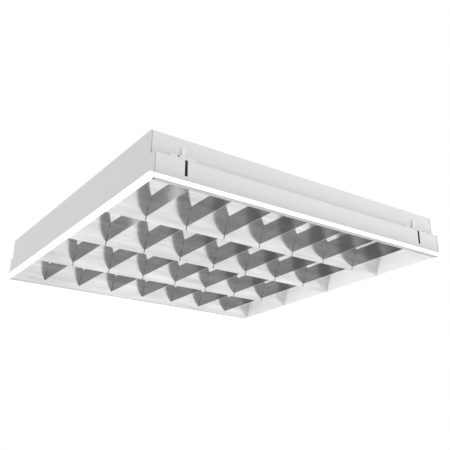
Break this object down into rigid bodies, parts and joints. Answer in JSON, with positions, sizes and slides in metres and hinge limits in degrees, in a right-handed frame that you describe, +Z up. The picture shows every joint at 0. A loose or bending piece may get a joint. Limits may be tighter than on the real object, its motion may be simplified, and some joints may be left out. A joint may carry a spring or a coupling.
{
  "type": "recessed troffer light",
  "caption": "Square recessed ceiling light with a white stepped housing, bright V-shaped parabolic louvre that swings down, and twist-in tube lamps.",
  "frame": {"origin": "middle of the square, at the underside of the flange", "axes": "+Z up into the ceiling, +X along the lamps, -Y towards the louvre's catches and +Y towards its hinge"},
  "size_m": [0.596, 0.596, 0.0765],
  "materials": {
    "white_steel": "white powder coat, satin",
    "clip_steel": "white coated sheet",
    "louvre_aluminium": "bright anodised, nearly mirror",
    "lamp_glass": "phosphor-coated inside, milky white",
    "cap_metal": "pressed cap with brass pins",
    "rotor_plastic": "moulded",
    "holder_plastic": "moulded, white",
    "ballast_case": "light grey sheet",
    "terminal_plastic": "moulded, pale grey",
    "wire_sleeve": "white sleeving",
    "grommet_rubber": "black",
    "spring_steel": "bright spring strip",
    "zinc_steel": "zinc plated"
  },
  "bodies": {
    "housing": {"ballast": "ballast_case", "ballast_screws": "zinc_steel", "ballast_terminals": "terminal_plastic", "cable_grommet": "grommet_rubber", "catch_keepers": "zinc_steel", "earth_screw": "zinc_steel", "end_plate_left": "white_steel", "end_plate_right": "white_steel", "gear_cover": "white_steel", "grid_clip_ears": "clip_steel", "hinge_brackets": "zinc_steel", "housing_body": "white_steel", "lampholder_left_1": "holder_plastic", "lampholder_left_2": "holder_plastic", "lampholder_left_3": "holder_plastic", "lampholder_left_4": "holder_plastic", "lampholder_rail_left": "white_steel", "lampholder_rail_right": "white_steel", "lampholder_right_1": "holder_plastic", "lampholder_right_2": "holder_plastic", "lampholder_right_3": "holder_plastic", "lampholder_right_4": "holder_plastic", "mains_leads": "wire_sleeve", "terminal_block": "terminal_plastic", "wiring_loom_left": "wire_sleeve", "wiring_loom_right": "wire_sleeve"},
    "louvre": {"cross_blade_1": "louvre_aluminium", "cross_blade_2": "louvre_aluminium", "cross_blade_3": "louvre_aluminium", "cross_blade_4": "louvre_aluminium", "cross_blade_5": "louvre_aluminium", "cross_blade_6": "louvre_aluminium", "cross_blade_7": "louvre_aluminium", "divider_1": "louvre_aluminium", "divider_2": "louvre_aluminium", "divider_3": "louvre_aluminium", "louvre_catches": "spring_steel", "louvre_end_left": "louvre_aluminium", "louvre_end_right": "louvre_aluminium", "louvre_hinge_lugs": "zinc_steel", "side_reflector_front": "louvre_aluminium", "side_reflector_rear": "louvre_aluminium"},
    "lamp_1": {"lamp_tube_1": "lamp_glass", "lamp_caps_1": "cap_metal", "lamp_rotors_1": "rotor_plastic"},
    "lamp_2": {"lamp_tube_2": "lamp_glass", "lamp_caps_2": "cap_metal", "lamp_rotors_2": "rotor_plastic"},
    "lamp_3": {"lamp_tube_3": "lamp_glass", "lamp_caps_3": "cap_metal", "lamp_rotors_3": "rotor_plastic"},
    "lamp_4": {"lamp_tube_4": "lamp_glass", "lamp_caps_4": "cap_metal", "lamp_rotors_4": "rotor_plastic"},
    "clip_front_left": {"grid_clip_front_left": "clip_steel"},
    "clip_front_right": {"grid_clip_front_right": "clip_steel"},
    "clip_rear_left": {"grid_clip_rear_left": "clip_steel"},
    "clip_rear_right": {"grid_clip_rear_right": "clip_steel"}
  },
  "joints": [
    {"name": "louvre_hinge", "type": "hinge", "parent": "housing", "child": "louvre", "pos_m": [0, 0.279, 0.0046], "axis": [1, 0, 0], "range_deg": [0, 90]},
    {"name": "lamp_1_twist", "type": "hinge", "parent": "housing", "child": "lamp_1", "pos_m": [0, -0.20722, 0.053], "axis": [1, 0, 0], "range_deg": [0, 90]},
    {"name": "lamp_2_twist", "type": "hinge", "parent": "housing", "child": "lamp_2", "pos_m": [0, -0.06907, 0.053], "axis": [1, 0, 0], "range_deg": [0, 90]},
    {"name": "lamp_3_twist", "type": "hinge", "parent": "housing", "child": "lamp_3", "pos_m": [0, 0.06907, 0.053], "axis": [1, 0, 0], "range_deg": [0, 90]},
    {"name": "lamp_4_twist", "type": "hinge", "parent": "housing", "child": "lamp_4", "pos_m": [0, 0.20722, 0.053], "axis": [1, 0, 0], "range_deg": [0, 90]},
    {"name": "clip_front_left_fold", "type": "hinge", "parent": "housing", "child": "clip_front_left", "pos_m": [-0.2356, -0.2758, 0.0409], "axis": [1, 0, 0], "range_deg": [0, 90]},
    {"name": "clip_front_right_fold", "type": "hinge", "parent": "housing", "child": "clip_front_right", "pos_m": [0.2356, -0.2758, 0.0409], "axis": [1, 0, 0], "range_deg": [0, 90]},
    {"name": "clip_rear_left_fold", "type": "hinge", "parent": "housing", "child": "clip_rear_left", "pos_m": [-0.2356, 0.2758, 0.0409], "axis": [-1, 0, 0], "range_deg": [0, 90]},
    {"name": "clip_rear_right_fold", "type": "hinge", "parent": "housing", "child": "clip_rear_right", "pos_m": [0.2356, 0.2758, 0.0409], "axis": [-1, 0, 0], "range_deg": [0, 90]}
  ]
}
